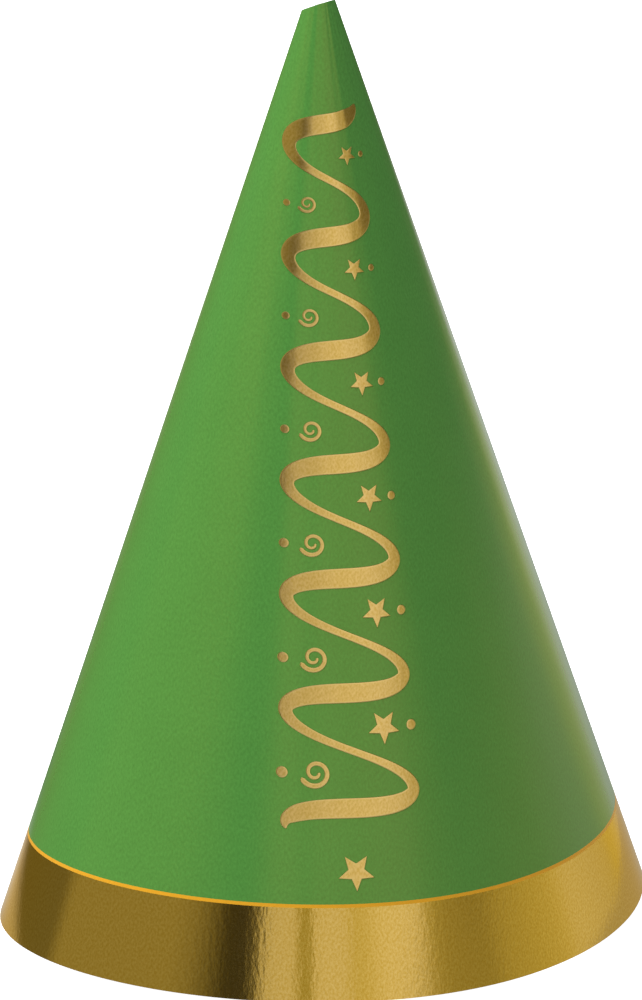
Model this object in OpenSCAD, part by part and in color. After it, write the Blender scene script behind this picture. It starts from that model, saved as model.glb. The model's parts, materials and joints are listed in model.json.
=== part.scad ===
// Cone party hat: a fan-shaped card blank rolled into a slightly oval cone with a glued lap at the
// back, green print with a yellow keyline, a gold foil rim band and a gold foil streamer motif.
// Origin: centre of the rim opening at the lowest points of the rim. +Z up, front at -Y.

/* [Cone] */
// Length of the blank's straight edge, from the cone's point to the rim
slant_length = 178; // [140:1:260]
// Angle of the flat fan-shaped blank
blank_angle = 120; // [95:1:150]
// Width of the glued lap at the rim
lap_width = 12; // [6:0.5:20]
// How far the side's slope swings to either side of its mean around the oval, in degrees
oval_angle = 1.6; // [0:0.1:3]
// Direction of the oval's wide axis, counted from the right side towards the back
oval_direction = 43; // [0:1:180]

/* [Card and layers] */
// Thickness of the card
board_thickness = 0.4; // [0.25:0.05:0.8]
// Thickness of the printed ink layers
ink_thickness = 0.05; // [0.03:0.01:0.1]
// Thickness of the stamped foil
foil_thickness = 0.05; // [0.03:0.01:0.1]
// Thickness of the glue in the lap
glue_thickness = 0.1; // [0.05:0.01:0.2]
// Film of adhesive or air between the card and each printed or foiled layer
film_gap = 0.01; // [0.01:0.005:0.03]

/* [Tip] */
// Depth of the cut below the cone's point, on the axis
tip_depth = 7.1; // [5:0.05:14]
// Rise of the cut towards the right side, in degrees
tip_rise_right = 20; // [0:1:25]
// Rise of the cut towards the front, in degrees
tip_rise_front = 14; // [0:1:25]

/* [Rim band] */
// Width of the gold band with its keyline
band_width = 16.5; // [8:0.1:30]
// Width of the yellow keyline above the foil
keyline_width = 0.6; // [0.5:0.05:2]

/* [Elastic holes] */
// Diameter of the punched holes
hole_diameter = 3; // [2:0.1:5]
// Distance of a hole's centre from the rim
hole_height = 9; // [6:0.5:14]
// How far each hole is set behind the side, in degrees
hole_set_back = 8; // [0:1:20]

/* [Streamer motif] */
// Distance along the side from the cut tip to the streamer's upper end
motif_top_margin = 16; // [16:0.5:40]
// Distance along the side from the streamer's lower end to the keyline
motif_rim_margin = 10.8; // [10:0.1:30]
// Half width of the streamer's swing at its upper end
swing_top = 5.8; // [5:0.1:7]
// Half width of the streamer's swing at its lower end
swing_bottom = 11.6; // [9:0.1:14]
// Drop from left to right that slants the bends
bend_slant = 2.2; // [0:0.1:3]
// How round the bends are, from 0 for a plain wave
bend_round = 0.3; // [0:0.05:0.5]
// Number of full bends of the streamer
bends = 6.5; // [4:0.5:7]
// Width of the streamer on its thick strokes
stroke_thick = 3.4; // [2:0.1:4]
// Width of the streamer on its thin strokes
stroke_thin = 1.3; // [1:0.1:2]
// Radius of the largest star from its centre to its points
star_radius = 3.3; // [2:0.1:3.6]
// Outer radius of the largest curl
curl_radius = 3.1; // [1.8:0.1:3.4]
// Width of a curl's line
curl_line = 0.95; // [0.6:0.05:1.1]
// Radius of the largest confetti dot
dot_radius = 1; // [0.5:0.05:1.2]

/* [Hidden] */

// Cone
back = 90;
front = 270;
rim_girth = slant_length * blank_angle * PI / 180 - lap_width;
half_angle = asin(rim_girth / (2 * PI * slant_length));
lap_turn = 360 * lap_width / rim_girth;
point_z = slant_length * cos(half_angle - oval_angle);
lap_rise = board_thickness + glue_thickness;
ramp_turn = 30;

// Stations around the sheet: the lap's under layer, the single wall, the lap's outer layer
lap_steps = 4;
wall_steps = 116;
sheet_start = back - lap_turn / 2;
print_start = back + lap_turn / 2;
lap_start = sheet_start + 360;
sheet_end = print_start + 360;
under_lap = [for (i = [0:lap_steps]) sheet_start + lap_turn * i / lap_steps];
single_wall = [for (i = [1:wall_steps]) print_start + (lap_start - print_start) * i / wall_steps];
outer_lap = [for (i = [1:lap_steps]) lap_start + lap_turn * i / lap_steps];
printed_turn = concat([print_start], single_wall, outer_lap);
sheet_turn = concat(under_lap, single_wall, outer_lap);

// Distances from the cone's point
green_end = slant_length - band_width;
foil_start = green_end + keyline_width;

// Depths through the wall, counted outwards from the card's inner face
layer_foot = board_thickness + film_gap;
ink_face = layer_foot + ink_thickness;
motif_lift = 0.04;
motif_foot = ink_face + motif_lift;
motif_face = motif_foot + foil_thickness;

// Half angle of the side at one direction, and how fast it changes
function side_angle(a) = half_angle + oval_angle * cos(2 * (a - oval_direction));
function side_change(a) = -2 * oval_angle * PI / 180 * sin(2 * (a - oval_direction));

// Unit vector down the side, and the side's outward normal
function down(a) = [sin(side_angle(a)) * cos(a), sin(side_angle(a)) * sin(a), -cos(side_angle(a))];
function lean(a) = side_change(a) / sin(side_angle(a));
function outward(a) = [
  cos(side_angle(a)) * cos(a) + lean(a) * sin(a),
  cos(side_angle(a)) * sin(a) - lean(a) * cos(a),
  sin(side_angle(a))
] / sqrt(1 + lean(a) * lean(a));

// Smooth step from 0 to 1, and the rise of the sheet where it climbs over the lap
function ease(u) = u <= 0 ? 0 : u >= 1 ? 1 : u * u * (3 - 2 * u);
function rise(a) = lap_rise * ease((a - lap_start + ramp_turn) / ramp_turn);

// Distance from the cone's point to the slanted cut at the tip
function tip_cut(a) = tip_depth / (cos(side_angle(a)) + sin(side_angle(a)) *
  (tan(tip_rise_right) * cos(a) - tan(tip_rise_front) * sin(a)));

// Point of the sheet at a direction, a distance from the cone's point and a depth in the wall
function on_sheet(a, s, depth) = [0, 0, point_z] + s * down(a) + (depth + rise(a)) * outward(a);

// Point of the motif, x to the right of the front line along the surface
function on_front(x, s, depth) = on_sheet(front + x / (s * sin(half_angle)) * 180 / PI, s, depth);

// Two triangles of the square between four points
function square(a, b, c, d) = [[a, b, c], [a, c, d]];

// Closed solid over a grid of outer points and the same grid of inner points
module slab(outer, inner) {
  rows = len(outer);
  cols = len(outer[0]);
  n = rows * cols;
  last_row = rows - 1;
  last_col = cols - 1;
  points = concat([for (row = outer) each row], [for (row = inner) each row]);
  faces = concat(
    [for (i = [0:last_row - 1], j = [0:last_col - 1])
      each square(i * cols + j, i * cols + j + 1, (i + 1) * cols + j + 1, (i + 1) * cols + j)],
    [for (i = [0:last_row - 1], j = [0:last_col - 1])
      each square(n + i * cols + j, n + (i + 1) * cols + j, n + (i + 1) * cols + j + 1,
        n + i * cols + j + 1)],
    [for (i = [0:last_row - 1])
      each square(i * cols, (i + 1) * cols, n + (i + 1) * cols, n + i * cols)],
    [for (i = [0:last_row - 1])
      each square((i + 1) * cols + last_col, i * cols + last_col, n + i * cols + last_col,
        n + (i + 1) * cols + last_col)],
    [for (j = [0:last_col - 1]) each square(j + 1, j, n + j, n + j + 1)],
    [for (j = [0:last_col - 1])
      each square(last_row * cols + j, last_row * cols + j + 1, n + last_row * cols + j + 1,
        n + last_row * cols + j)]
  );
  polyhedron(points = points, faces = faces, convexity = 10);
}

// Part of the rolled sheet. An edge distance of 0 stands for the cut at the tip.
function edge(a, s) = s == 0 ? tip_cut(a) : s;
function wall_grid(turn, edges, depth) =
  [for (a = turn) [for (s = edges) on_sheet(a, edge(a, s), depth)]];

module wall(turn, edges, foot, face) {
  slab(wall_grid(turn, edges, face), wall_grid(turn, edges, foot));
}

// Punched holes, square to the wall on either side
hole_directions = [hole_set_back, 180 - hole_set_back];
punch_length = 6;
punch_facets = 48;

module punched_holes() {
  for (a = hole_directions) {
    n = outward(a);
    translate(on_sheet(a, slant_length - hole_height, board_thickness / 2))
      rotate([0, acos(n.z), atan2(n.y, n.x)])
        cylinder(d = hole_diameter, h = punch_length, center = true, $fn = punch_facets);
  }
}

// Streamer: its centre line swings left and right down the front, thick on every stroke to the left
motif_top = tip_depth / cos(half_angle) + motif_top_margin;
motif_bottom = green_end - motif_rim_margin;
motif_length = motif_bottom - motif_top;
bend_drop = motif_length / bends;
first_phase = 100;
function swing(u) = swing_top + (swing_bottom - swing_top) * u;
function share(u) = swing(u) / swing_bottom;
function phase(u) = first_phase + 360 * bends * u;
function streamer_x(u) = swing(u) * sin(phase(u));
function streamer_s(u) = motif_top + motif_length * u + bend_slant * share(u) * sin(phase(u))
  - bend_round * bend_drop / (4 * PI) * sin(2 * phase(u));
end_taper = 0.022;
narrowest = 0.12;
function taper(u) = max(narrowest, sqrt(sin(90 * min(1, min(u, 1 - u) / end_taper))));
function streamer_width(u) = taper(u) *
  (stroke_thin + (stroke_thick - stroke_thin) * (0.5 - 0.5 * cos(phase(u))));

// Flat line of a given width about a centre line: its points across, in half widths, at each step
broad_line = [-1, -0.5, 0, 0.5, 1];
fine_line = [-1, 0, 1];
function line_point(c, t, offset) = c + offset * [t.y, -t.x] / norm(t);
function line_grid(centres, tangents, widths, across, depth) = [for (i = [0:len(centres) - 1])
  [for (k = across) let (p = line_point(centres[i], tangents[i], k * widths[i] / 2))
    on_front(p.x, p.y, depth)]];

module foil_line(centres, widths, across) {
  last = len(centres) - 1;
  tangents = [for (i = [0:last]) centres[min(i + 1, last)] - centres[max(i - 1, 0)]];
  slab(line_grid(centres, tangents, widths, across, motif_face),
    line_grid(centres, tangents, widths, across, motif_foot));
}

// Hollows beside the streamer: one at each bend, on the side away from it, starting on the right
hollow_phase = 270;
hollow_reach = 0.56;
hollows = floor((first_phase + 360 * bends - hollow_phase) / 180);
function hollow_u(k) = (hollow_phase - first_phase + 180 * k) / (360 * bends);
function hollow_side(k) = k % 2 == 0 ? 1 : -1;
function hollow_x(k) = hollow_side(k) * hollow_reach * swing(hollow_u(k));
function hollow_s(k) = motif_top + motif_length * hollow_u(k)
  + bend_slant * hollow_reach * share(hollow_u(k)) * hollow_side(k);
function hollow_share(k) = share(hollow_u(k));
star_hollows = [for (k = [0:2:hollows - 1]) k];
curl_hollows = [for (k = [1:2:hollows - 1]) k];

// Curl: a spiral line that tightens towards its middle
curl_steps = 40;
curl_turn = 520;
curl_heart = 0.2;
curl_thinnest = 0.45;
function curl_grow(i) = curl_heart + (1 - curl_heart) * i / curl_steps;
function curl_arm(i) = curl_grow(i) * [cos(curl_turn * i / curl_steps), sin(curl_turn * i / curl_steps)];
module curl(k) {
  centre = [hollow_x(k), hollow_s(k)];
  reach = (curl_radius - curl_line / 2) * hollow_share(k);
  line = curl_line * hollow_share(k);
  foil_line([for (i = [0:curl_steps]) centre + reach * curl_arm(i)],
    [for (i = [0:curl_steps]) line * (curl_thinnest + (1 - curl_thinnest) * curl_grow(i))],
    fine_line);
}

// Flat foil shape about a centre, with an outline given by its radii and rings that follow the cone
module foil_patch(x, s, radii, turn, rings) {
  n = len(radii);
  last = len(rings) - 1;
  m = 1 + n * len(rings);
  function points(depth) = concat([on_front(x, s, depth)],
    [for (ring = rings, i = [0:n - 1]) let (r = ring * radii[i], a = turn + 360 * i / n)
      on_front(x + r * cos(a), s + r * sin(a), depth)]);
  function at(ring, i) = 1 + ring * n + i % n;
  top = concat(
    [for (i = [0:n - 1]) [0, at(0, i), at(0, i + 1)]],
    [for (ring = [0:1:last - 1], i = [0:n - 1])
      each square(at(ring, i), at(ring + 1, i), at(ring + 1, i + 1), at(ring, i + 1))]);
  sides = [for (i = [0:n - 1])
    each square(at(last, i), at(last, i) + m, at(last, i + 1) + m, at(last, i + 1))];
  bottom = [for (f = top) [f[2] + m, f[1] + m, f[0] + m]];
  polyhedron(points = concat(points(motif_face), points(motif_foot)),
    faces = concat(top, sides, bottom), convexity = 10);
}

star_waist = 0.45;
star_points = 5;
star_tilt = 18;
star_rings = [0.25, 0.5, 0.75, 1];
module star(x, s, radius) {
  foil_patch(x, s, [for (i = [1:star_points]) each [radius, radius * star_waist]], star_tilt,
    star_rings);
}

dot_facets = 14;
dot_rings = [0.5, 1];
module dot(x, s, radius) {
  foil_patch(x, s, [for (i = [1:dot_facets]) radius], 0, dot_rings);
}

// Sub-parts

module board_cone() {
  color("#f2f0ea")
    difference() {
      wall(sheet_turn, [0, green_end, foil_start, slant_length], 0, board_thickness);
      punched_holes();
    }
}

module green_print() {
  color("#52923e")
    wall(printed_turn, [0, green_end], layer_foot, ink_face);
}

module keyline_print() {
  color("#e0a32c")
    wall(printed_turn, [green_end, foil_start], layer_foot, ink_face);
}

module foil_rim_band() {
  color("#b28a33")
    difference() {
      wall(printed_turn, [foil_start, slant_length], layer_foot, layer_foot + foil_thickness);
      punched_holes();
    }
}

module seam_glue() {
  color("#e9e2c8")
    wall(under_lap, [0, slant_length], board_thickness + film_gap, lap_rise - film_gap);
}

streamer_steps = 250;
module foil_streamer() {
  color("#c39a4e")
    foil_line([for (i = [0:streamer_steps]) let (u = i / streamer_steps)
      [streamer_x(u), streamer_s(u)]],
      [for (i = [0:streamer_steps]) streamer_width(i / streamer_steps)],
      broad_line);
}

module foil_curls() {
  color("#c39a4e")
    for (k = curl_hollows) curl(k);
}

module foil_stars() {
  color("#c39a4e") {
    for (k = star_hollows) star(hollow_x(k), hollow_s(k), star_radius * hollow_share(k));
    star(0, green_end - motif_rim_margin / 2, star_radius);
  }
}

dot_gap = 2.4;
module foil_dots() {
  color("#c39a4e")
    for (k = [0:hollows - 1])
      dot(hollow_x(k) + hollow_side(k) * (star_radius + dot_gap) * hollow_share(k), hollow_s(k),
        dot_radius * hollow_share(k));
}

board_cone();
green_print();
keyline_print();
foil_rim_band();
seam_glue();
foil_streamer();
foil_curls();
foil_stars();
foil_dots();
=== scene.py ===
import json
from math import asin, cos, pi, radians, sin, tan

import bpy
import numpy as np
from bpy.props import FloatProperty, PointerProperty, StringProperty
from bpy.types import Operator, Panel, PropertyGroup
from mathutils import Matrix, Vector


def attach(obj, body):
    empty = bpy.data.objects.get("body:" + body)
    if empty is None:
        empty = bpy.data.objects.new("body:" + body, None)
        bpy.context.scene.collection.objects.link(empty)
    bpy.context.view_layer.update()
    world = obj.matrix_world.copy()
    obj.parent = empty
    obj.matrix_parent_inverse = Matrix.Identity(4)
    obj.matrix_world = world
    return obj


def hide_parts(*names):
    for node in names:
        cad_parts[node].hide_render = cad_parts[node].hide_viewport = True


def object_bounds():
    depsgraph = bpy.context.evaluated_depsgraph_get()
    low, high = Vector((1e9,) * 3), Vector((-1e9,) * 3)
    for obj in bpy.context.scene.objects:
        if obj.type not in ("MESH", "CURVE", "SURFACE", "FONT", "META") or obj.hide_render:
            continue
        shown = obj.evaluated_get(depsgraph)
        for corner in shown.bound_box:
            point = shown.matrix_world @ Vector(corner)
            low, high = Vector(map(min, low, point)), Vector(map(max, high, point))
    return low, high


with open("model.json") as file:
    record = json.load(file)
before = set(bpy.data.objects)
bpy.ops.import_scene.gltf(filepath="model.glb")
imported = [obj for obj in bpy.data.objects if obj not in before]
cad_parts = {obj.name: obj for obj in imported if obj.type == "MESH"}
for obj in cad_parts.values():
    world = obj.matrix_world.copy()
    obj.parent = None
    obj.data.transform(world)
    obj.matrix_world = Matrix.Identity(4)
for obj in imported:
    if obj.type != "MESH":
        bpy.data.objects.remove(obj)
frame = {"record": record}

bl_info = {
    "name": "Cone party hat",
    "version": (1, 0, 0),
    "blender": (4, 5, 0),
    "location": "View3D > Sidebar > Party hat",
    "description": "A rolled-card party hat with printed ink and stamped foil, and its studio",
    "category": "Add Mesh",
}

CAD_BOX = [list(corner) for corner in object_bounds()]
MM = 0.001
FRONT = radians(270)
BACK = radians(90)


# ---------------------------------------------------------------- sizes and colours

class ConeSizes(PropertyGroup):
    """The card blank and how it is rolled."""
    slant_length: FloatProperty(
        name="Slant length", description="Side of the blank, from the cone's point to the rim",
        default=0.178, unit="LENGTH")
    blank_angle: FloatProperty(
        name="Blank angle", description="Angle of the flat fan-shaped blank",
        default=radians(120), subtype="ANGLE")
    lap_width: FloatProperty(
        name="Lap width", description="Width of the glued lap at the rim",
        default=0.012, unit="LENGTH")
    oval_angle: FloatProperty(
        name="Oval angle", description="Swing of the side's slope about its mean, round the oval",
        default=radians(1.6), subtype="ANGLE")
    oval_direction: FloatProperty(
        name="Oval direction", description="Direction of the oval's wide axis",
        default=radians(43), subtype="ANGLE")
    tip_depth: FloatProperty(
        name="Tip depth", description="Depth of the cut below the cone's point, on the axis",
        default=0.0071, unit="LENGTH")
    tip_rise_right: FloatProperty(
        name="Tip rise right", description="Rise of the cut towards the right side",
        default=radians(20), subtype="ANGLE")
    tip_rise_front: FloatProperty(
        name="Tip rise front", description="Rise of the cut towards the front",
        default=radians(14), subtype="ANGLE")


class LayerSizes(PropertyGroup):
    """The card's thickness, the layers on it and the band."""
    board: FloatProperty(
        name="Card", description="Thickness of the card", default=0.0004, unit="LENGTH")
    ink: FloatProperty(
        name="Ink", description="Thickness of the ink", default=0.00005, unit="LENGTH")
    foil: FloatProperty(
        name="Foil", description="Thickness of the stamped foil", default=0.00005, unit="LENGTH")
    glue: FloatProperty(
        name="Glue", description="Thickness of the glue in the lap", default=0.0001, unit="LENGTH")
    motif_lift: FloatProperty(
        name="Motif lift", description="Height of the motif's foil above the ink",
        default=0.00004, unit="LENGTH")
    band_width: FloatProperty(
        name="Band width", description="Width of the gold band with its keyline",
        default=0.0165, unit="LENGTH")
    keyline_width: FloatProperty(
        name="Keyline width", description="Width of the yellow keyline",
        default=0.0006, unit="LENGTH")


class MotifSizes(PropertyGroup):
    """The streamer, curls, stars and confetti down the front."""
    top_margin: FloatProperty(
        name="Top margin", description="From the cut tip to the streamer's upper end",
        default=0.016, unit="LENGTH")
    rim_margin: FloatProperty(
        name="Rim margin", description="From the streamer's lower end to the keyline",
        default=0.0108, unit="LENGTH")
    swing_top: FloatProperty(
        name="Swing at the top", description="Half width of the streamer's swing at its upper end",
        default=0.0058, unit="LENGTH")
    swing_bottom: FloatProperty(
        name="Swing at the bottom", description="Half width of the swing at its lower end",
        default=0.0116, unit="LENGTH")
    bend_slant: FloatProperty(
        name="Bend slant", description="Drop from left to right that slants the bends",
        default=0.0022, unit="LENGTH")
    bend_round: FloatProperty(
        name="Bend roundness", description="0 for a plain wave, more for rounder bends", default=0.3)
    bends: FloatProperty(
        name="Bends", description="Number of full bends of the streamer", default=6.5)
    stroke_thick: FloatProperty(
        name="Thick stroke", description="Width of the streamer's thick strokes",
        default=0.0034, unit="LENGTH")
    stroke_thin: FloatProperty(
        name="Thin stroke", description="Width of the streamer's thin strokes",
        default=0.0013, unit="LENGTH")
    star_radius: FloatProperty(
        name="Star radius", description="From the centre of the largest star to its points",
        default=0.0033, unit="LENGTH")
    curl_radius: FloatProperty(
        name="Curl radius", description="Outer radius of the largest curl",
        default=0.0031, unit="LENGTH")
    curl_line: FloatProperty(
        name="Curl line", description="Width of a curl's line", default=0.00095, unit="LENGTH")
    dot_radius: FloatProperty(
        name="Dot radius", description="Radius of the largest confetti dot",
        default=0.001, unit="LENGTH")


class Finishes(PropertyGroup):
    """Colours as sRGB hex values."""
    green: StringProperty(name="Green ink", description="Printed green", default="#4d8c3d")
    keyline: StringProperty(name="Keyline ink", description="Printed yellow", default="#e0a126")
    gold_deep: StringProperty(
        name="Gold foil, deep", description="Foil between the grains", default="#dab252")
    gold_pale: StringProperty(
        name="Gold foil, pale", description="Foil on the grains", default="#eac672")
    satin_deep: StringProperty(
        name="Satin foil, deep", description="Foil over ink, between the grains", default="#eac36e")
    satin_pale: StringProperty(
        name="Satin foil, pale", description="Foil over ink, on the grains", default="#fcd78e")
    # Pale gold mixed in along the motif's stamped edges: a painted highlight for the light those edges
    # catch.
    gold_edge_highlight: StringProperty(
        name="Gold foil edge", description="Paler foil where it is stretched over a stamped edge",
        default="#ffdc94")
    card: StringProperty(name="Card", description="White card stock", default="#efece4")
    glue: StringProperty(name="Glue", description="Dried glue", default="#e9dfc0")
    floor: StringProperty(name="Floor", description="Studio floor", default="#f4f4f2")


class PartyHat(PropertyGroup):
    """All the settings of the hat."""
    cone: PointerProperty(type=ConeSizes, name="Cone", description="Rolled blank")
    layers: PointerProperty(type=LayerSizes, name="Layers", description="Card, ink and foil")
    motif: PointerProperty(type=MotifSizes, name="Motif", description="Foil motif")
    finishes: PointerProperty(type=Finishes, name="Finishes", description="Colours")


# ---------------------------------------------------------------- the rolled surface

def ease(u):
    """Smooth step: 0 below 0, 1 above 1, 3u^2 - 2u^3 between."""
    u = np.clip(u, 0, 1)
    return u * u * (3 - 2 * u)


class RolledCard:
    """The sheet's surface. A point is the cone's point, plus the distance along the side times the
    unit vector down the side at that turn, plus the depth in the wall times the outward normal."""

    def __init__(self, hat):
        cone, layers = hat.cone, hat.layers
        self.slant = cone.slant_length
        self.oval, self.oval_direction = cone.oval_angle, cone.oval_direction
        girth = self.slant * cone.blank_angle - cone.lap_width
        self.half_angle = asin(girth / (2 * pi * self.slant))
        self.lap_turn = 2 * pi * cone.lap_width / girth
        self.point_height = self.slant * cos(self.half_angle - self.oval)
        self.cut = (cone.tip_depth, tan(cone.tip_rise_right), tan(cone.tip_rise_front))
        self.start = BACK - self.lap_turn / 2
        self.print_start = BACK + self.lap_turn / 2
        self.lap_start = self.start + 2 * pi
        self.end = self.print_start + 2 * pi
        self.lap_rise = layers.board + layers.glue
        self.ramp = radians(30)
        self.green_end = self.slant - layers.band_width
        self.foil_start = self.green_end + layers.keyline_width
        self.ink_face = layers.board + layers.ink
        self.foil_face = layers.board + layers.foil
        self.motif_face = self.ink_face + layers.motif_lift + layers.foil

    def side_angle(self, turn):
        """Angle between the axis and the side: its mean plus a wave twice round the oval."""
        return self.half_angle + self.oval * np.cos(2 * (turn - self.oval_direction))

    def tip(self, turn):
        """Distance from the cone's point to the slanted cut at that turn."""
        angle = self.side_angle(turn)
        depth, right, front = self.cut
        return depth / (np.cos(angle) + np.sin(angle) * (right * np.cos(turn) - front * np.sin(turn)))

    def rise(self, turn):
        """Lift of the sheet where it climbs over the lap's under layer."""
        return self.lap_rise * ease((turn - self.lap_start + self.ramp) / self.ramp)

    def ripple(self, turn, along):
        """Slight waves of rolled card: a sum of sines in turn and distance, under 0.05 mm high."""
        return MM * (0.018 * np.sin(9 * turn + 0.6) * np.cos(38 * along + 1)
                     + 0.012 * np.sin(17 * turn + 2.1 + 21 * along)
                     + 0.008 * np.cos(31 * turn + 0.4 - 55 * along))

    def points(self, turn, along, depth, edge=0.0):
        """Points of the sheet, each with its place on the flat blank and its share of painted
        highlight, 1 on a foil's edge. On the blank a turn is narrower by the sine of the half angle, at
        the same distance."""
        turn, along, depth, edge = np.broadcast_arrays(turn, along, depth, edge)
        angle = self.side_angle(turn)
        change = -2 * self.oval * np.sin(2 * (turn - self.oval_direction))
        lean = change / np.sin(angle)
        length = np.sqrt(1 + lean * lean)
        down = np.stack(
            [np.sin(angle) * np.cos(turn), np.sin(angle) * np.sin(turn), -np.cos(angle)], -1)
        out = np.stack([(np.cos(angle) * np.cos(turn) + lean * np.sin(turn)) / length,
                        (np.cos(angle) * np.sin(turn) - lean * np.cos(turn)) / length,
                        np.sin(angle) / length], -1)
        lift = depth + self.rise(turn) + self.ripple(turn, along)
        place = np.array([0, 0, self.point_height]) + along[..., None] * down + lift[..., None] * out
        fan = (turn - FRONT) * sin(self.half_angle)
        flat = np.stack([along * np.sin(fan), -along * np.cos(fan), edge], -1)
        return np.concatenate([place, flat], -1)

    def front_points(self, x, along, depth, edge=0.0):
        """Points of the motif, x to the right of the front line along the surface."""
        return self.points(FRONT + x / (along * sin(self.half_angle)), along, depth, edge)


# ---------------------------------------------------------------- meshes from grids

CREASE = radians(35)


def grid_faces(index, keep=None):
    """Four-cornered faces between the neighbours of a grid of vertex numbers."""
    quads = np.stack([index[:-1, :-1], index[:-1, 1:], index[1:, 1:], index[1:, :-1]], -1)
    return quads.reshape(-1, 4) if keep is None else quads[keep]


def thick_shell(outer, inner, keep=None, ring=False):
    """Closed shell of two grids of points of one shape: the outer grid, the inner grid turned over,
    and a wall along every border edge of the kept faces. A ring's rows close on themselves and its
    first row is one point."""
    rows, cols = outer.shape[:2]
    index = np.arange(rows * cols).reshape(rows, cols)
    if ring:
        index[0] = 0
        index = np.concatenate([index, index[:, :1]], 1)
    top = grid_faces(index, keep)
    edges = np.stack([top, np.roll(top, -1, 1)], -1).reshape(-1, 2)
    edges = edges[edges[:, 0] != edges[:, 1]]
    count = rows * cols
    border = edges[~np.isin(edges[:, 0] * count + edges[:, 1], edges[:, 1] * count + edges[:, 0])]
    walls = np.stack([border[:, 1], border[:, 0], border[:, 0] + count, border[:, 1] + count], -1)
    faces = np.concatenate([top, top[:, ::-1] + count, walls])
    vertices = np.concatenate([outer.reshape(count, -1), inner.reshape(count, -1)])
    used, faces = np.unique(faces, return_inverse=True)
    return vertices[used], faces.reshape(-1, 4)


def join_shells(shells):
    """One list of vertices and one of faces from several shells."""
    offsets = np.cumsum([0] + [len(vertices) for vertices, _ in shells[:-1]])
    return (np.concatenate([vertices for vertices, _ in shells]),
            np.concatenate([faces + offset for (_, faces), offset in zip(shells, offsets)]))


def make_piece(name, shell, material, node):
    """A finished object on the root body from a shell, smooth apart from its edges."""
    vertices, faces = shell
    mesh = bpy.data.meshes.new(name)
    corners = [list(dict.fromkeys(face)) for face in faces.tolist()]
    mesh.from_pydata(vertices[:, :3].tolist(), [], corners)
    flat = vertices[:, 3:] * (1, 1, 0)
    mesh.attributes.new("blank", "FLOAT_VECTOR", "POINT").data.foreach_set("vector", flat.ravel())
    # The edge attribute carries the share of painted highlight on a foil's edge.
    mesh.attributes.new("edge", "FLOAT", "POINT").data.foreach_set("value", vertices[:, 5].copy())
    mesh.shade_smooth()
    mesh.set_sharp_from_angle(angle=CREASE)
    mesh.materials.append(material)
    piece = bpy.data.objects.new(name, mesh)
    bpy.context.scene.collection.objects.link(piece)
    if not len(mesh.polygons):
        raise RuntimeError(f"{name} has no faces")
    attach(piece, "root")
    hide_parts(node)
    return piece


# ---------------------------------------------------------------- shapes of the hat

# Grid lines to a hole's radius, and the radii over which the grid eases back to its own lines.
HOLE_BLOCK = 9
HOLE_REACH = 2.4
# How close the grid's own lines may come to a hole's block, as a multiple of its reach.
HOLE_MARGIN = 1.02

# Stamped foil: the width of its rounded edge, how far its sides reach into the ink, its height at
# the very edge as a share of the whole, and the distances from the edge that have points.
BEVEL = 0.16 * MM
FOIL_ROOT = 0.02 * MM
EDGE_HEIGHT = 0.25
EDGE_STEPS = np.array([0, 0.03, 0.08, 0.16, 0.28, 0.4]) * MM

# Squeezed glue: the turn past the lap's edge in which it lies, and the depth of its bead.
GLUE_SPAN = 0.025
BEAD_DEPTH = 0.25 * MM


def hole_places(card):
    """Turn, distance along the side and radius of each punched hole, from the frame's mounts."""
    places = []
    for mount in frame["record"]["mounts"]:
        if mount["kind"] == "bore":
            x, y, z = mount["pos_m"]
            turn = np.arctan2(y, x) % (2 * pi)
            turn += 2 * pi if turn < card.start else 0
            along = (card.point_height - z) / cos(card.side_angle(turn))
            places.append((turn, along, mount["dims"]["r_mm"] * MM))
    return places


def sheet_lines(card, turns, edges, steps, holes):
    """Turns and shares of the way from edge to edge, with closer lines about each hole."""
    lines = np.linspace(turns[0], turns[1], steps[0] + 1)
    shares = np.linspace(0, 1, steps[1] + 1)
    length = edges[1] - edges[0]
    for turn, along, radius in holes:
        reach = radius * HOLE_REACH
        count = round(HOLE_BLOCK * HOLE_REACH) * 2 + 1
        arc = card.slant * sin(card.half_angle)
        near = turn + np.linspace(-reach, reach, count) / arc
        lines = np.concatenate([lines[abs(lines - turn) > reach / arc * HOLE_MARGIN], near])
        middle = (along - edges[0]) / length
        near = middle + np.linspace(-reach, reach, count) / length
        shares = np.concatenate([shares[abs(shares - middle) > reach / length * HOLE_MARGIN], near])
    return np.unique(np.round(lines, 9)), np.unique(np.round(shares, 9))


def punch(card, turn, along, holes):
    """Turns the square of grid lines about each hole into rings: within the block a point at square
    distance q from the centre goes to the circle of radius q times the hole's, and from there out
    to HOLE_REACH it eases back to its own place. Returns the moved grid and the faces that stay."""
    keep = np.ones((turn.shape[0] - 1, turn.shape[1] - 1), bool)
    for centre, middle, radius in holes:
        arc = middle * sin(card.side_angle(centre))
        x, y = (turn - centre) * arc / radius, (along - middle) / radius
        q = np.maximum(abs(x), abs(y))
        r = np.maximum(np.hypot(x, y), 1e-9)
        pull = 1 - ease((q - 1) / (HOLE_REACH - 1))
        turn = turn + pull * (x * q / r - x) * radius / arc
        along = along + pull * (y * q / r - y) * radius
        centres = (q[:-1, :-1] + q[1:, :-1] + q[:-1, 1:] + q[1:, 1:]) / 4
        keep &= centres > 1
    return turn, along, keep


def sheet_shell(card, turns, edges, depths, steps, holes=()):
    """Part of the rolled sheet between two turns, two distances from the cone's point and two
    depths. An edge of None is the cut at the tip."""
    first = card.tip(turns[0]) if edges[0] is None else edges[0]
    lines, shares = sheet_lines(card, turns, (first, edges[1]), steps, holes)
    turn, share = np.meshgrid(lines, shares)
    upper = card.tip(turn) if edges[0] is None else edges[0]
    along = upper + (edges[1] - upper) * share
    turn, along, keep = punch(card, turn, along, holes)
    return thick_shell(card.points(turn, along, depths[1]), card.points(turn, along, depths[0]), keep)


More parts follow.
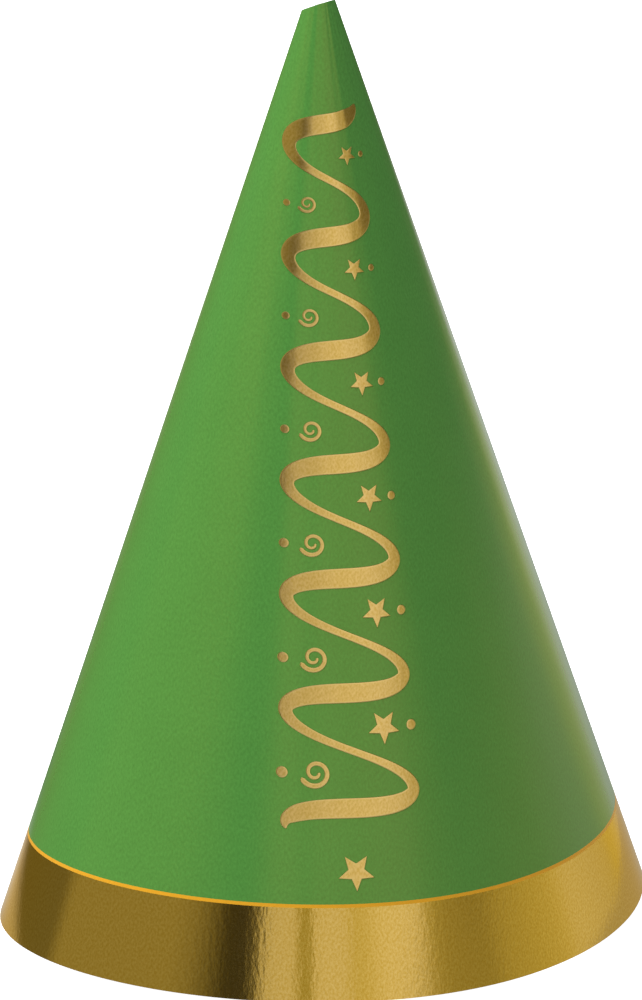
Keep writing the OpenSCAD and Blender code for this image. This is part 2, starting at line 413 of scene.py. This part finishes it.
def stamped_depth(card, from_edge):
    """Depth of stamped foil at a distance from its edge: a quarter round up to the full height."""
    fall = np.clip(1 - from_edge / BEVEL, 0, 1)
    height = EDGE_HEIGHT + (1 - EDGE_HEIGHT) * np.sqrt(1 - fall * fall)
    return card.ink_face + (card.motif_face - card.ink_face) * height


def edge_highlight_share(from_edge):
    """Share of the painted highlight, a pale outline along a foil's edge, at a distance from the edge,
    falling smoothly from 1 to 0.
    """
    return 1 - ease((from_edge / MM - 0.1) / 0.3)


def foil_line(card, x, along, width):
    """A flat line of stamped foil about a centre line. Across it, the points are the half width
    less a few edge distances, then even shares."""
    tangent = np.stack([np.gradient(x), np.gradient(along)])
    tangent /= np.hypot(*tangent)
    half = width[:, None] / 2
    edge = np.minimum(EDGE_STEPS, half * np.array([0, 0.1, 0.2, 0.4, 0.6, 0.8]))
    side = np.concatenate([half - edge, half * 0.0], 1)
    offset = np.concatenate([-side, side[:, -2::-1]], 1)
    px = x[:, None] - offset * tangent[1][:, None]
    ps = along[:, None] + offset * tangent[0][:, None]
    # near: share of the painted highlight along the foil's edge.
    face, near = stamped_depth(card, half - abs(offset)), edge_highlight_share(half - abs(offset))
    foot = np.full_like(face, card.ink_face - FOIL_ROOT)
    return thick_shell(card.front_points(px, ps, face, near), card.front_points(px, ps, foot, near))


def foil_patch(card, x, along, outline, turn=0.0):
    """A flat patch of stamped foil about a centre; outline gives its radius at each angle. Its rings
    of points crowd towards the edge, and on a small patch they keep to shares of its radius."""
    around = np.linspace(0, 2 * pi, len(outline), endpoint=False)[None, :] + turn
    size = outline.max()
    edge = np.minimum(EDGE_STEPS[::-1] / size, [0.5, 0.4, 0.3, 0.15, 0.05, 0])
    shares = np.concatenate([[0, 0.3], 1 - edge])[:, None]
    radius = shares * outline[None, :]
    px, ps = x + radius * np.cos(around), along + radius * np.sin(around)
    inside = (1 - shares) * outline[None, :] + 0 * px
    # near: share of the painted highlight along the foil's edge.
    face, near = stamped_depth(card, inside), edge_highlight_share(inside)
    foot = np.full_like(face, card.ink_face - FOIL_ROOT)
    return thick_shell(card.front_points(px, ps, face, near), card.front_points(px, ps, foot, near),
                       ring=True)


def star_outline(radius, waist=0.45, points=5, steps=12):
    """Radius of a star's straight-edged outline at each angle. Between a point at radius a and a
    waist at radius b, a sector s apart: a b sin s / (a sin d + b sin(s - d)), d from the point."""
    sector = pi / points
    angle = np.arange(2 * points * steps) * sector / steps
    d = np.abs((angle + sector) % (2 * sector) - sector)
    low = radius * waist
    return radius * low * sin(sector) / (radius * np.sin(d) + low * np.sin(sector - d))


def glue_shell(card, thickness):
    """The glue in the lap with a bead squeezed out past the under layer's edge. The bead's width is
    its mean plus two sines along the side; its depth is the film's plus a bead that falls with the
    square of the way out, and is less where the bead is under half a millimetre wide."""
    turn = np.concatenate([np.linspace(-GLUE_SPAN, 0, 9)[:-1], np.linspace(0, card.lap_turn, 9)])
    turn, share = np.meshgrid(card.start + turn, np.linspace(0, 1, 240))
    along = card.tip(turn) + (card.slant - card.tip(turn)) * share
    arc = along * sin(card.half_angle)
    squeeze = (0.25 + 0.2 * np.sin(190 * along) + 0.15 * np.sin(510 * along + 1)) * MM
    out = np.clip((card.start - turn) * arc / squeeze, 0, 1)
    turn = np.where(turn < card.start, card.start - out * squeeze / arc, turn)
    wide = np.clip(squeeze / MM * 2, 0, 1)
    bead = thickness + BEAD_DEPTH * (1 - out) ** 2 * (turn < card.start) * wide
    face = card.lap_rise + 0 * turn
    return thick_shell(card.points(turn, along, face), card.points(turn, along, face - bead))


# From the points of the largest star to the centre of the dot beside it.
DOT_GAP = 2.4 * MM


class Motif:
    """Where the streamer, its hollows and the small shapes in them lie."""
    FIRST_PHASE = radians(100)
    HOLLOW_PHASE = radians(270)
    # How far out the small shapes lie, as a share of the swing.
    REACH = 0.56
    # The share of the streamer's length over which an end tapers, and its least share of the width.
    TAPER = 0.022
    BLUNT = 0.12
    # A curl's turn, and the share of its reach at which its line starts.
    CURL_TURN = radians(520)
    CURL_START = 0.2

    def __init__(self, hat, card):
        self.sizes = hat.motif
        self.top = hat.cone.tip_depth / cos(card.half_angle) + self.sizes.top_margin
        self.bottom = card.green_end - self.sizes.rim_margin
        self.length = self.bottom - self.top
        self.turns = 2 * pi * self.sizes.bends
        self.hollows = np.arange(int((self.FIRST_PHASE + self.turns - self.HOLLOW_PHASE) / pi))

    def swing(self, u):
        """Half width of the swing, growing evenly down the front."""
        return self.sizes.swing_top + (self.sizes.swing_bottom - self.sizes.swing_top) * u

    def share(self, u):
        """Swing as a share of the widest one."""
        return self.swing(u) / self.sizes.swing_bottom

    def streamer(self, u):
        """Centre line and width of the streamer: a sine swing with a slant, rounded bends and
        tapered ends, thick on every stroke to the left."""
        phase = self.FIRST_PHASE + self.turns * u
        x = self.swing(u) * np.sin(phase)
        drop = self.length / self.sizes.bends
        along = (self.top + self.length * u + self.sizes.bend_slant * self.share(u) * np.sin(phase)
                 - self.sizes.bend_round * drop / (4 * pi) * np.sin(2 * phase))
        near_end = np.minimum(1, np.minimum(u, 1 - u) / self.TAPER)
        taper = np.maximum(self.BLUNT, np.sqrt(np.sin(pi / 2 * near_end)))
        thick, thin = self.sizes.stroke_thick, self.sizes.stroke_thin
        return x, along, taper * (thin + (thick - thin) * (0.5 - 0.5 * np.cos(phase)))

    def hollow(self, k):
        """Side, place and share of the hollow beside the kth bend."""
        u = (self.HOLLOW_PHASE - self.FIRST_PHASE + pi * k) / self.turns
        side = 1 if k % 2 == 0 else -1
        x = side * self.REACH * self.swing(u)
        along = self.top + self.length * u + self.sizes.bend_slant * self.REACH * self.share(u) * side
        return side, x, along, self.share(u)

    def curl(self, card, k):
        """A spiral line: its radius and width grow evenly as it turns, and its ends are rounded."""
        _, x, along, share = self.hollow(k)
        steps = np.linspace(0, 1, 161)
        grow = self.CURL_START + (1 - self.CURL_START) * steps
        reach = (self.sizes.curl_radius - self.sizes.curl_line / 2) * share
        angle = self.CURL_TURN * steps
        width = self.sizes.curl_line * share * (0.45 + 0.55 * grow)
        round_end = np.sqrt(np.clip(np.minimum(steps, 1 - steps) / 0.02, 0.02, 1))
        across, down = reach * grow * np.cos(angle), reach * grow * np.sin(angle)
        return foil_line(card, x + across, along + down, width * round_end)


# ---------------------------------------------------------------- materials

GRAIN = radians(-35)

def linear(hex_colour):
    """An sRGB hex value as linear red, green, blue and alpha."""
    channels = [int(hex_colour[i:i + 2], 16) / 255 for i in (1, 3, 5)]
    return [c / 12.92 if c <= 0.04045 else ((c + 0.055) / 1.055) ** 2.4 for c in channels] + [1.0]


def add_node(tree, kind, settings=None, inputs=None):
    """Adds a node, sets its properties, and sets or links its inputs."""
    node = tree.nodes.new(kind)
    for name, value in (settings or {}).items():
        setattr(node, name, value)
    for name, value in (inputs or {}).items():
        if isinstance(value, bpy.types.NodeSocket):
            tree.links.new(value, node.inputs[name])
        else:
            node.inputs[name].default_value = value
    return node


def new_material(name):
    """An empty node material with its output, and its tree."""
    material = bpy.data.materials.new(name)
    material.use_nodes = True
    material.node_tree.nodes.clear()
    return material, material.node_tree


def paint(tree, base, roughness, normal, settings):
    """The principled surface and the output."""
    inputs = {"Base Color": base, "Roughness": roughness, "Normal": normal}
    inputs.update(settings)
    shader = add_node(tree, "ShaderNodeBsdfPrincipled", None, inputs)
    add_node(tree, "ShaderNodeOutputMaterial", None, {"Surface": shader.outputs["BSDF"]})


def mottled(tree, colour, noise, low, high):
    """The colour times a grey that runs from low to high with the noise."""
    grey = add_node(tree, "ShaderNodeMapRange", None,
                    {"Value": noise, "To Min": low, "To Max": high})
    return add_node(tree, "ShaderNodeMix", {"data_type": "RGBA", "blend_type": "MULTIPLY"},
                    {0: 1.0, 6: colour, 7: grey.outputs["Result"]}).outputs[2]


def board_pattern(tree, size, detail=2.0, stretch=1.0):
    """Blotches about size metres across on the flat blank, longer along the board's grain by the
    stretch. The grain lies askew on the blank, as blanks are nested on the sheet."""
    place = add_node(tree, "ShaderNodeAttribute", {"attribute_name": "blank"}).outputs["Vector"]
    grain = add_node(tree, "ShaderNodeMapping", None,
                     {"Vector": place, "Rotation": (0, 0, GRAIN), "Scale": (1, 1 / stretch, 1)})
    noise = add_node(tree, "ShaderNodeTexNoise", None,
                     {"Vector": grain.outputs["Vector"], "Scale": 1 / size, "Detail": detail})
    return noise.outputs["Fac"]


def green_ink(hat):
    """Offset-printed green on coated paperboard under a satin varnish: even colour with a faint
    mottle from the fibres, a soft gloss, and the board's slight orange peel in it."""
    material, tree = new_material("satin_green_offset_ink")
    fibres = board_pattern(tree, 0.4 * MM, 3, 1.5)
    clouds = board_pattern(tree, 9 * MM)
    peel = board_pattern(tree, 1.6 * MM)
    colour = mottled(tree, linear(hat.finishes.green), fibres, 0.72, 1.28)
    colour = mottled(tree, colour, clouds, 0.96, 1.04)
    rough = add_node(tree, "ShaderNodeMapRange", None,
                     {"Value": clouds, "To Min": 0.18, "To Max": 0.24})
    fine = add_node(tree, "ShaderNodeBump", None, {"Height": fibres, "Distance": 0.003 * MM})
    bump = add_node(tree, "ShaderNodeBump", None,
                    {"Height": peel, "Distance": 0.012 * MM, "Normal": fine.outputs["Normal"]})
    paint(tree, colour, rough.outputs["Result"], bump.outputs["Normal"],
          {"IOR": 1.5, "Specular IOR Level": 0.85, "Specular Tint": (1.0, 0.55, 0.12, 1.0)})
    return material


def yellow_ink(hat):
    """Printed process yellow with a little magenta, under the same satin varnish."""
    material, tree = new_material("satin_yellow_offset_ink")
    fibres = board_pattern(tree, 0.7 * MM, 4, 2.0)
    colour = mottled(tree, linear(hat.finishes.keyline), fibres, 0.92, 1.08)
    bump = add_node(tree, "ShaderNodeBump", None, {"Height": fibres, "Distance": 0.004 * MM})
    paint(tree, colour, 0.38, bump.outputs["Normal"],
          {"IOR": 1.5, "Specular Tint": (1.0, 0.6, 0.15, 1.0)})
    return material


def gold_foil(hat, name, deep, pale, smooth, rough):
    """Hot-stamped metallised film, gold lacquer over aluminium. On bare card it is a near mirror that
    follows the board's fibres, so that its streaks of light have a fine grained, slightly torn edge;
    over the varnished ink it sets duller and paler, with soft and even tones. It is given its
    colours between and on the grains, and its least and greatest roughness."""
    material, tree = new_material(name)
    peel = board_pattern(tree, 0.8 * MM, 2, 3.0)
    fibres = board_pattern(tree, 0.35 * MM, 2, 1.5)
    grain = add_node(tree, "ShaderNodeMapRange", None,
                     {"Value": fibres, "From Min": 0.35, "From Max": 0.65})
    colour = add_node(tree, "ShaderNodeMix", {"data_type": "RGBA"},
                      {0: grain.outputs["Result"], 6: linear(deep), 7: linear(pale)}).outputs[2]
    # Towards a stamped edge the colour is mixed to the paler edge gold: a painted highlight for the
    # light the edge catches.
    rim = add_node(tree, "ShaderNodeAttribute", {"attribute_name": "edge"}).outputs["Fac"]
    colour = add_node(tree, "ShaderNodeMix", {"data_type": "RGBA"},
                      {0: rim, 6: colour, 7: linear(hat.finishes.gold_edge_highlight)}).outputs[2]
    rough = add_node(tree, "ShaderNodeMapRange", None,
                     {"Value": peel, "To Min": smooth, "To Max": rough})
    fine = add_node(tree, "ShaderNodeBump", None, {"Height": fibres, "Distance": 0.006 * MM})
    bump = add_node(tree, "ShaderNodeBump", None,
                    {"Height": peel, "Distance": 0.02 * MM, "Normal": fine.outputs["Normal"]})
    paint(tree, colour, rough.outputs["Result"], bump.outputs["Normal"],
          {"Metallic": 1.0, "Specular Tint": (1.0, 0.85, 0.6, 1.0)})
    return material


def white_card(hat):
    """Uncoated back and cut edges of bleached paperboard: chalky white with fine fibres."""
    material, tree = new_material("bleached_paperboard")
    fibres = board_pattern(tree, 0.5 * MM, 5, 4.0)
    clouds = board_pattern(tree, 5 * MM)
    colour = mottled(tree, linear(hat.finishes.card), fibres, 0.93, 1.04)
    colour = mottled(tree, colour, clouds, 0.98, 1.02)
    bump = add_node(tree, "ShaderNodeBump", None, {"Height": fibres, "Distance": 0.02 * MM})
    paint(tree, colour, 0.85, bump.outputs["Normal"], {"IOR": 1.45})
    return material


def dried_glue(hat):
    """Dried white glue: a waxy, slightly amber, half clear film."""
    material, tree = new_material("dried_white_glue")
    lumps = board_pattern(tree, 1.5 * MM)
    colour = mottled(tree, linear(hat.finishes.glue), lumps, 0.92, 1.05)
    bump = add_node(tree, "ShaderNodeBump", None, {"Height": lumps, "Distance": 0.05 * MM})
    paint(tree, colour, 0.3, bump.outputs["Normal"], {"IOR": 1.47})
    return material


# ---------------------------------------------------------------- operators: the pieces

class HAT_OT_card(Operator):
    """Roll the card blank, with its lap, cut tip and punched holes"""
    bl_idname = "hat.card"
    bl_label = "Card cone"

    def execute(self, context):
        hat = context.scene.party_hat
        card = RolledCard(hat)
        shell = sheet_shell(card, (card.start, card.end), (None, card.slant), (0, hat.layers.board),
                            (372, 60), hole_places(card))
        make_piece("card_cone", shell, white_card(hat), "board_cone")
        return {"FINISHED"}


class HAT_OT_print(Operator):
    """Print the green ink and the yellow keyline"""
    bl_idname = "hat.print"
    bl_label = "Printed inks"

    def execute(self, context):
        hat = context.scene.party_hat
        card = RolledCard(hat)
        turns, depths = (card.print_start, card.end), (hat.layers.board, card.ink_face)
        green = sheet_shell(card, turns, (None, card.green_end), depths, (360, 90))
        make_piece("green_ink", green, green_ink(hat), "green_print")
        line = sheet_shell(card, turns, (card.green_end, card.foil_start), depths, (360, 2))
        make_piece("yellow_keyline", line, yellow_ink(hat), "keyline_print")
        return {"FINISHED"}


class HAT_OT_band(Operator):
    """Stamp the gold foil band round the rim"""
    bl_idname = "hat.band"
    bl_label = "Foil rim band"

    def execute(self, context):
        hat = context.scene.party_hat
        card = RolledCard(hat)
        shell = sheet_shell(card, (card.print_start, card.end), (card.foil_start, card.slant),
                            (hat.layers.board, card.foil_face), (540, 24), hole_places(card))
        colours = hat.finishes.gold_deep, hat.finishes.gold_pale
        foil = gold_foil(hat, "bright_gold_foil_on_card", *colours, 0.09, 0.15)
        make_piece("gold_rim_band", shell, foil, "foil_rim_band")
        return {"FINISHED"}


class HAT_OT_glue(Operator):
    """Glue the lap, with a little squeezed out along the under layer's edge inside"""
    bl_idname = "hat.glue"
    bl_label = "Lap glue"

    def execute(self, context):
        hat = context.scene.party_hat
        shell = glue_shell(RolledCard(hat), hat.layers.glue)
        make_piece("lap_glue", shell, dried_glue(hat), "seam_glue")
        return {"FINISHED"}


class HAT_OT_motif(Operator):
    """Stamp the streamer, curls, stars and confetti down the front"""
    bl_idname = "hat.motif"
    bl_label = "Foil motif"

    def execute(self, context):
        hat = context.scene.party_hat
        card = RolledCard(hat)
        motif = Motif(hat, card)
        sizes = hat.motif
        colours = hat.finishes.satin_deep, hat.finishes.satin_pale
        foil = gold_foil(hat, "satin_gold_foil_on_ink", *colours, 0.26, 0.34)
        streamer = foil_line(card, *motif.streamer(np.linspace(0, 1, 1201)))
        make_piece("gold_streamer", streamer, foil, "foil_streamer")
        curls = [motif.curl(card, k) for k in motif.hollows[1::2]]
        make_piece("gold_curls", join_shells(curls), foil, "foil_curls")
        stars = [foil_patch(card, x, along, star_outline(sizes.star_radius * share), radians(18))
                 for _, x, along, share in map(motif.hollow, motif.hollows[::2])]
        stars.append(foil_patch(card, 0, card.green_end - sizes.rim_margin / 2,
                                star_outline(sizes.star_radius), radians(18)))
        make_piece("gold_stars", join_shells(stars), foil, "foil_stars")
        dots = [foil_patch(card, x + side * (sizes.star_radius + DOT_GAP) * share, along,
                           np.full(48, sizes.dot_radius * share))
                for side, x, along, share in map(motif.hollow, motif.hollows)]
        make_piece("gold_confetti", join_shells(dots), foil, "foil_dots")
        return {"FINISHED"}


# ---------------------------------------------------------------- operator: the stage

VIEW_AZIMUTH = radians(-6)
VIEW_ELEVATION = radians(13.94)
VIEW_ROLL = radians(-0.32)
VIEW_DISTANCE = 0.8840
VIEW_AIM = (-0.00031, 0.0, 0.07491)

# What the gloss of the hat shows by azimuth in degrees from the camera's side, to its right:
# (azimuth, brightness, share of blue against red). The walls stand above the table's far edge.
WALLS = [
    (-180, 0.40, 0.8), (-165, 0.30, 0.6), (-150, 0.17, 0.3), (-130, 0.18, 0.4), (-107, 0.18, 0.5),
    (-99, 0.34, 0.5), (-44, 0.34, 0.5), (-34, 0.28, 0.5), (-26, 0.16, 0.5), (-20, 0.06, 0.6),
    (-11, 0.05, 0.8), (-7, 0.14, 0.6), (-4, 0.68, 0.9), (7.5, 0.72, 0.9), (10, 0.41, 0.3),
    (14, 0.41, 0.3), (16, 0.76, 0.9), (27, 0.76, 0.9), (31, 0.66, 0.5), (42, 0.86, 0.9),
    (54, 0.88, 1.0), (60, 0.58, 0.3), (65, 0.40, 0.4), (72, 0.12, 0.5), (150, 0.06, 0.5),
    (165, 0.20, 0.6), (180, 0.40, 0.8),
]
TABLE = [
    (-180, 0.60, 1.0), (-168, 0.40, 0.8), (-150, 0.20, 0.6), (-138, 0.20, 0.5),
    (-100, 0.33, 0.5), (-40, 0.50, 0.6), (0, 0.60, 0.9), (40, 0.60, 0.9), (64, 0.36, 0.4),
    (76, 0.36, 0.4), (82, 0.48, 0.4), (94, 0.55, 0.4), (101, 0.66, 0.5), (107, 0.72, 0.75),
    (114, 0.69, 0.75), (122, 0.66, 0.75), (130, 0.68, 0.6), (137, 0.80, 0.35), (144, 0.95, 0.5),
    (157, 1.1, 0.95), (170, 0.9, 1.0), (180, 0.6, 1.0),
]

# The height of the table's far edge in that gloss: (azimuth, elevation).
TABLE_EDGE = [
    (-180, -8), (-160, -12.5), (-140, -14), (-100, -12), (60, 11), (105, 5), (155, -2.5), (180, -8),
]

# The table close to the hat: (azimuth, brightness by the rim, brightness further out).
NEAR_TABLE = [
    (-180, 0.60, 0.4), (-165, 0.75, 0.25), (-120, 0.75, 0.25), (-90, 0.6, 0.3), (60, 0.5, 0.4),
    (95, 0.5, 0.5), (140, 0.5, 0.5), (180, 0.5, 0.45),
]


def gloss_light(azimuth, elevation):
    """Colour seen towards an azimuth and elevation in degrees: above the table's far edge the walls'
    list and below it the table's, each run through in straight lines, with a soft step between.
    The table dims by a twentieth for each degree nearer than its far part."""
    def seen(listed):
        angle, bright, blue = np.array(listed).T
        level, tint = np.interp(azimuth, angle, bright), np.interp(azimuth, angle, blue)
        return np.stack([level, level * (0.9 + 0.1 * tint), level * tint], -1)
    share = ease((elevation - np.interp(azimuth, *np.array(TABLE_EDGE).T)) / 5 + 0.5)[..., None]
    near = np.clip(1 + (elevation + 4) / 20, 0.3, 1)[..., None]
    return seen(TABLE) * near * (1 - share) + seen(WALLS) * share


def direction(azimuth, elevation):
    """Unit vector towards a place seen from the hat; azimuth 0 is the camera's side, + to its right."""
    turn = VIEW_AZIMUTH + azimuth
    return Vector((sin(turn) * cos(elevation), -cos(turn) * cos(elevation), sin(elevation)))


def soft_light(name, azimuth, elevation, distance, size, power, colour):
    """A square area light that faces the hat and lights it without showing in its gloss."""
    data = bpy.data.lights.new(name, "AREA")
    data.shape, data.size, data.energy, data.color = "SQUARE", size, power, colour
    light = bpy.data.objects.new(name, data)
    bpy.context.scene.collection.objects.link(light)
    aim = Vector(VIEW_AIM)
    back = direction(radians(azimuth), radians(elevation))
    light.location = aim + back * distance
    light.rotation_euler = back.to_track_quat("Z", "Y").to_euler()
    light.visible_glossy = False
    light.visible_camera = False
    return light


def glow_surface(name, points, glow):
    """A surface that only the gloss of the hat shows, through a grid of points with their colours."""
    index = np.arange(points.shape[0] * points.shape[1]).reshape(points.shape[:2])
    mesh = bpy.data.meshes.new(name)
    mesh.from_pydata(points.reshape(-1, 3).tolist(), [], grid_faces(index).tolist())
    mesh.attributes.new("glow", "FLOAT_VECTOR", "POINT").data.foreach_set("vector", glow.ravel())
    material, tree = new_material(name + "_light")
    colour = add_node(tree, "ShaderNodeAttribute", {"attribute_name": "glow"}).outputs["Vector"]
    light = add_node(tree, "ShaderNodeEmission", None, {"Color": colour})
    add_node(tree, "ShaderNodeOutputMaterial", None, {"Surface": light.outputs["Emission"]})
    mesh.materials.append(material)
    surface = bpy.data.objects.new(name, mesh)
    surface.visible_camera = surface.visible_diffuse = surface.visible_shadow = False
    return surface


def light_tent():
    """The surroundings that the gloss of the hat shows: part of a sphere about the hat, with a point
    for each degree of azimuth and elevation, coloured by gloss_light."""
    azimuth, elevation = np.meshgrid(np.arange(-180, 181), np.arange(-60, 76))
    turn, rise = VIEW_AZIMUTH + np.radians(azimuth), np.radians(elevation)
    points = np.stack([np.cos(rise) * np.sin(turn), -np.cos(rise) * np.cos(turn), np.sin(rise)], -1)
    return glow_surface("light_tent", 2 * points + VIEW_AIM, gloss_light(azimuth, elevation))


def near_table():
    """The table close about the hat, bright on the key light's side and in the hat's own shade on
    the other: rings of points to where the tent's table takes over."""
    azimuth, reach = np.meshgrid(np.arange(-180, 181, 5), np.linspace(0.04, 0.115, 9))
    turn = VIEW_AZIMUTH + np.radians(azimuth)
    height = 0 * reach + CAD_BOX[0][2] + 0.1 * MM
    points = np.stack([reach * np.sin(turn), -reach * np.cos(turn), height], -1)
    angle, *levels = np.array(NEAR_TABLE).T
    near, far = (np.interp(azimuth, angle, level) for level in levels)
    bright = near + (far - near) * ease((reach - 0.06) / 0.055)
    return glow_surface("near_table", points, bright[..., None] * (1, 0.97, 0.85))


def pale_floor(hat):
    """A wide pale floor at the rim's lowest points, lit from below as on a light table."""
    material, tree = new_material("backlit_white_acrylic")
    place = add_node(tree, "ShaderNodeTexCoord").outputs["Object"]
    grain = add_node(tree, "ShaderNodeTexNoise", None, {"Vector": place, "Scale": 1 / (2 * MM)})
    bump = add_node(tree, "ShaderNodeBump", None,
                    {"Height": grain.outputs["Fac"], "Distance": 0.02 * MM})
    paint(tree, linear(hat.finishes.floor), 0.9, bump.outputs["Normal"],
          {"Emission Color": (1, 1, 1, 1), "Emission Strength": 0.8})
    mesh = bpy.data.meshes.new("floor")
    reach, height = 40.0, CAD_BOX[0][2]
    corners = [(-reach, -reach, height), (reach, -reach, height), (reach, reach, height),
               (-reach, reach, height)]
    mesh.from_pydata(corners, [], [(0, 1, 2, 3)])
    mesh.materials.append(material)
    floor = bpy.data.objects.new("floor", mesh)
    floor.visible_glossy = floor.visible_diffuse = False
    return floor


class HAT_OT_stage(Operator):
    """Set up the floor, the soft lights, the tent and the camera"""
    bl_idname = "hat.stage"
    bl_label = "Studio stage"

    def execute(self, context):
        scene = context.scene
        hat = scene.party_hat
        surroundings = pale_floor(hat), light_tent(), near_table()
        for item in surroundings:
            scene.collection.objects.link(item)

        soft_light("key_softbox", -58, 38, 1.8, 1.0, 20, (1, 1, 0.9))
        soft_light("side_softbox", -130, 25, 1.8, 1.0, 9, (1, 1, 0.9))
        soft_light("top_softbox", 0, 89, 2.2, 2.0, 48, (0.98, 1, 1.08))

        world = bpy.data.worlds.new("studio_air")
        world.use_nodes = True
        tree = world.node_tree
        tree.nodes.clear()
        air = add_node(tree, "ShaderNodeBackground", None,
                       {"Color": (0.98, 1, 1.2, 1), "Strength": 0.4})
        add_node(tree, "ShaderNodeOutputWorld", None, {"Surface": air.outputs[0]})
        scene.world = world

        data = bpy.data.cameras.new("camera")
        data.lens, data.sensor_width = 180, 36
        camera = bpy.data.objects.new("camera", data)
        scene.collection.objects.link(camera)
        back = direction(0, VIEW_ELEVATION)
        camera.location = Vector(VIEW_AIM) + back * VIEW_DISTANCE
        turned = back.to_track_quat("Z", "Y").to_matrix() @ Matrix.Rotation(VIEW_ROLL, 3, "Z")
        camera.rotation_euler = turned.to_euler()
        scene.camera = camera
        scene.view_settings.view_transform = "Standard"
        return {"FINISHED"}


class HAT_PT_panel(Panel):
    """Buttons and sizes of the party hat"""
    bl_idname = "HAT_PT_panel"
    bl_label = "Cone party hat"
    bl_space_type = "VIEW_3D"
    bl_region_type = "UI"
    bl_category = "Party hat"

    def draw(self, context):
        for operator in OPERATORS:
            self.layout.operator(operator.bl_idname)
        hat = context.scene.party_hat
        for group in (hat.cone, hat.layers, hat.motif, hat.finishes):
            box = self.layout.box()
            for name in group.bl_rna.properties.keys():
                if name not in ("rna_type", "name"):
                    box.prop(group, name)


OPERATORS = (HAT_OT_card, HAT_OT_print, HAT_OT_band, HAT_OT_glue, HAT_OT_motif, HAT_OT_stage)
CLASSES = (ConeSizes, LayerSizes, MotifSizes, Finishes, PartyHat) + OPERATORS + (HAT_PT_panel,)


def register():
    for cls in CLASSES:
        bpy.utils.register_class(cls)
    bpy.types.Scene.party_hat = PointerProperty(type=PartyHat)


def unregister():
    del bpy.types.Scene.party_hat
    for cls in reversed(CLASSES):
        bpy.utils.unregister_class(cls)


def main():
    register()
    bpy.ops.hat.card()
    bpy.ops.hat.print()
    bpy.ops.hat.band()
    bpy.ops.hat.glue()
    bpy.ops.hat.motif()
    bpy.ops.hat.stage()


if __name__ == "__main__":
    main()
